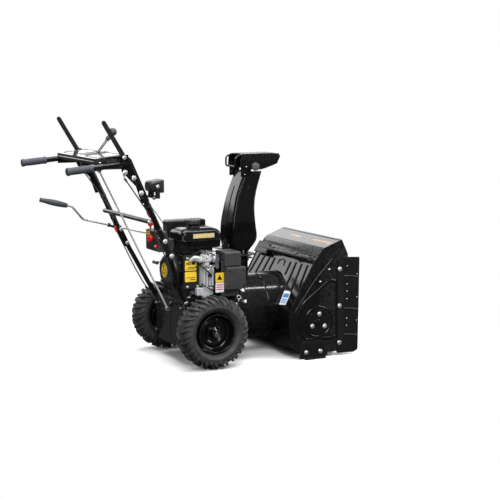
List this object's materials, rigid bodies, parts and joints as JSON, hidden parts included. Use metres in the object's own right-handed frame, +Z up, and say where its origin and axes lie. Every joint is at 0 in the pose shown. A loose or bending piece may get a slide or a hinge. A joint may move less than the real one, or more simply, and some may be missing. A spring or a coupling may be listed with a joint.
{
  "type": "two stage snowblower",
  "caption": "Walk-behind two stage snowblower: auger housing, impeller drum, crank-turned chute with deflector, petrol engine on a friction-drive tractor, two wheels and tubular handles.",
  "frame": {"origin": "ground under the middle of the machine, on the centre plane of the tractor", "axes": "+Z up, -Y towards the auger mouth, +Y towards the operator, +X to the operator's left"},
  "size_m": [0.6626, 1.4384, 1.1133],
  "materials": {
    "gloss_black_paint": "gloss",
    "satin_black": "satin",
    "grey_plastic": "matte",
    "tyre": "matte",
    "rubber": "matte",
    "grip_rubber": "matte",
    "zinc_steel": "satin",
    "cast_alloy": "satin",
    "red_plastic": "gloss"
  },
  "bodies": {
    "frame": {"tractor_frame": "gloss_black_paint", "bottom_cover": "gloss_black_paint", "auger_housing": "gloss_black_paint", "impeller_drum": "gloss_black_paint", "fuel_tank": "gloss_black_paint", "upper_handle_right": "gloss_black_paint", "upper_handle_left": "gloss_black_paint", "lower_handle_right": "gloss_black_paint", "lower_handle_left": "gloss_black_paint", "cross_brace": "gloss_black_paint", "dash_panel": "gloss_black_paint", "auger_gearbox": "cast_alloy", "carburettor": "cast_alloy", "auger_belt": "rubber", "clutch_cable_right": "rubber", "clutch_cable_left": "rubber", "headlight_wire": "rubber", "belt_cover": "grey_plastic", "heater_box": "grey_plastic", "control_panel": "grey_plastic", "scraper_bar": "satin_black", "skid_right": "satin_black", "skid_left": "satin_black", "drift_cutter_right": "satin_black", "drift_cutter_left": "satin_black", "engine_block": "satin_black", "recoil_cover": "satin_black", "muffler": "satin_black", "grip_right": "grip_rubber", "grip_left": "grip_rubber"},
    "wheels": {"axle": "zinc_steel", "rim_right": "gloss_black_paint", "rim_left": "gloss_black_paint", "tyre_right": "tyre", "tyre_left": "tyre"},
    "drive_shaft": {"hex_shaft": "zinc_steel"},
    "drive_wheel": {"friction_wheel": "rubber"},
    "drive_disc": {"friction_disc": "cast_alloy"},
    "crankshaft": {"engine_pulley": "cast_alloy"},
    "impeller": {"impeller": "gloss_black_paint", "impeller_pulley": "cast_alloy"},
    "augers": {"auger_right": "satin_black", "auger_left": "satin_black"},
    "chute": {"chute": "gloss_black_paint"},
    "deflector": {"deflector": "satin_black"},
    "deflector_knob": {"deflector_knob": "grey_plastic"},
    "chute_crank": {"chute_crank": "zinc_steel"},
    "crank_grip": {"crank_grip": "grip_rubber"},
    "clutch_lever_right": {"clutch_lever_right": "satin_black"},
    "clutch_lever_left": {"clutch_lever_left": "satin_black"},
    "shift_lever": {"shift_lever": "zinc_steel"},
    "shift_rod": {"shift_rod": "zinc_steel"},
    "shift_arm": {"shift_arm": "satin_black"},
    "headlight": {"headlight": "grey_plastic"},
    "fuel_cap": {"fuel_cap": "satin_black"},
    "throttle_lever": {"throttle_lever": "red_plastic"},
    "engine_key": {"engine_key": "red_plastic"},
    "primer_button": {"primer_button": "red_plastic"},
    "recoil_handle": {"recoil_handle": "satin_black"},
    "clean_out_tool": {"clean_out_tool": "satin_black"}
  },
  "joints": [
    {"name": "axle_spin", "type": "hinge", "parent": "frame", "child": "wheels", "pos_m": [0, 0.031, 0.165], "axis": [1, 0, 0], "continuous": true},
    {"name": "drive_shaft_spin", "type": "hinge", "parent": "frame", "child": "drive_shaft", "pos_m": [0, -0.0275, 0.221], "axis": [1, 0, 0], "continuous": true},
    {"name": "drive_wheel_slide", "type": "slide", "parent": "drive_shaft", "child": "drive_wheel", "axis": [1, 0, 0], "range_m": [-0.012, 0.0445]},
    {"name": "crankshaft_spin", "type": "hinge", "parent": "frame", "child": "crankshaft", "pos_m": [0, -0.12, 0.41], "axis": [0, 1, 0], "continuous": true},
    {"name": "drive_disc_spin", "type": "hinge", "parent": "frame", "child": "drive_disc", "pos_m": [0, -0.09, 0.221], "axis": [0, 1, 0], "continuous": true},
    {"name": "impeller_spin", "type": "hinge", "parent": "frame", "child": "impeller", "pos_m": [0, -0.25, 0.221], "axis": [0, 1, 0], "continuous": true},
    {"name": "auger_spin", "type": "hinge", "parent": "frame", "child": "augers", "pos_m": [0, -0.498, 0.166], "axis": [1, 0, 0], "continuous": true},
    {"name": "chute_turn", "type": "hinge", "parent": "frame", "child": "chute", "pos_m": [0, -0.218, 0.47], "axis": [0, 0, 1], "range_deg": [-95, 95]},
    {"name": "crank_turn", "type": "hinge", "parent": "frame", "child": "chute_crank", "pos_m": [0.0785, -0.335, 0.447], "axis": [0.3176, 0.9208, 0.2262], "range_deg": [-1140, 1140]},
    {"name": "crank_grip_spin", "type": "hinge", "parent": "chute_crank", "child": "crank_grip", "pos_m": [0.28088, 0.48619, 0.69905], "axis": [0.3176, 0.9208, 0.2262], "continuous": true},
    {"name": "deflector_tilt", "type": "hinge", "parent": "chute", "child": "deflector", "pos_m": [0, -0.227, 0.89], "axis": [1, 0, 0], "range_deg": [-10, 40]},
    {"name": "deflector_knob_turn", "type": "hinge", "parent": "deflector", "child": "deflector_knob", "pos_m": [-0.07, -0.281, 0.8815], "axis": [-1, 0, 0], "range_deg": [0, 360]},
    {"name": "clutch_lever_right_squeeze", "type": "hinge", "parent": "frame", "child": "clutch_lever_right", "pos_m": [-0.2849, 0.452, 0.957], "axis": [-1, 0, 0], "range_deg": [0, 60], "stiffness_Nm_per_rad": 1.2, "springref_deg": -20.05},
    {"name": "clutch_lever_left_squeeze", "type": "hinge", "parent": "frame", "child": "clutch_lever_left", "pos_m": [0.2849, 0.452, 0.957], "axis": [-1, 0, 0], "range_deg": [0, 60], "stiffness_Nm_per_rad": 1.2, "springref_deg": -20.05},
    {"name": "shift_lever_turn", "type": "hinge", "parent": "frame", "child": "shift_lever", "pos_m": [0, 0.52, 0.892], "axis": [1, 0, 0], "range_deg": [-36, 9]},
    {"name": "shift_rod_slide", "type": "slide", "parent": "frame", "child": "shift_rod", "axis": [0, 0.4483, 0.8939], "range_m": [-0.0057, 0.022]},
    {"name": "shift_arm_turn", "type": "hinge", "parent": "frame", "child": "shift_arm", "pos_m": [-0.052, 0.1345, 0.268], "axis": [1, 0, 0], "range_deg": [-10.5, 40]},
    {"name": "headlight_tilt", "type": "hinge", "parent": "frame", "child": "headlight", "pos_m": [-0.195, 0.306, 0.796], "axis": [1, 0, 0], "range_deg": [-20, 20]},
    {"name": "fuel_cap_turn", "type": "hinge", "parent": "frame", "child": "fuel_cap", "pos_m": [-0.02, 0.012, 0.6223], "axis": [0, 0, 1], "range_deg": [0, 90]},
    {"name": "throttle_lever_turn", "type": "hinge", "parent": "frame", "child": "throttle_lever", "pos_m": [0.116, 0.166, 0.588], "axis": [1, 0, 0], "range_deg": [-25, 25]},
    {"name": "engine_key_pull", "type": "slide", "parent": "frame", "child": "engine_key", "axis": [0, 1, 0], "range_m": [0, 0.02]},
    {"name": "primer_press", "type": "slide", "parent": "frame", "child": "primer_button", "axis": [0, -1, 0], "range_m": [0, 0.006], "stiffness_N_per_m": 400, "springref_m": -0.001},
    {"name": "recoil_pull", "type": "slide", "parent": "frame", "child": "recoil_handle", "axis": [0, 1, 0], "range_m": [0, 0.17], "stiffness_N_per_m": 20, "springref_m": -0.05},
    {"name": "clean_out_tool_lift", "type": "slide", "parent": "frame", "child": "clean_out_tool", "axis": [0, 0.8299, 0.5579], "range_m": [0, 0.06]}
  ],
  "couplings": [
    {"joint": "drive_shaft_spin", "follows": "axle_spin", "ratio": -2.557},
    {"joint": "drive_wheel_slide", "follows": "shift_lever_turn", "m_per_rad": -0.07},
    {"joint": "drive_disc_spin", "follows": "crankshaft_spin", "ratio": 0.6905},
    {"joint": "auger_spin", "follows": "impeller_spin", "ratio": 0.1},
    {"joint": "crank_turn", "follows": "chute_turn", "ratio": 12},
    {"joint": "shift_rod_slide", "follows": "shift_lever_turn", "m_per_rad": -0.0345},
    {"joint": "shift_arm_turn", "follows": "shift_lever_turn", "ratio": -1.1}
  ]
}
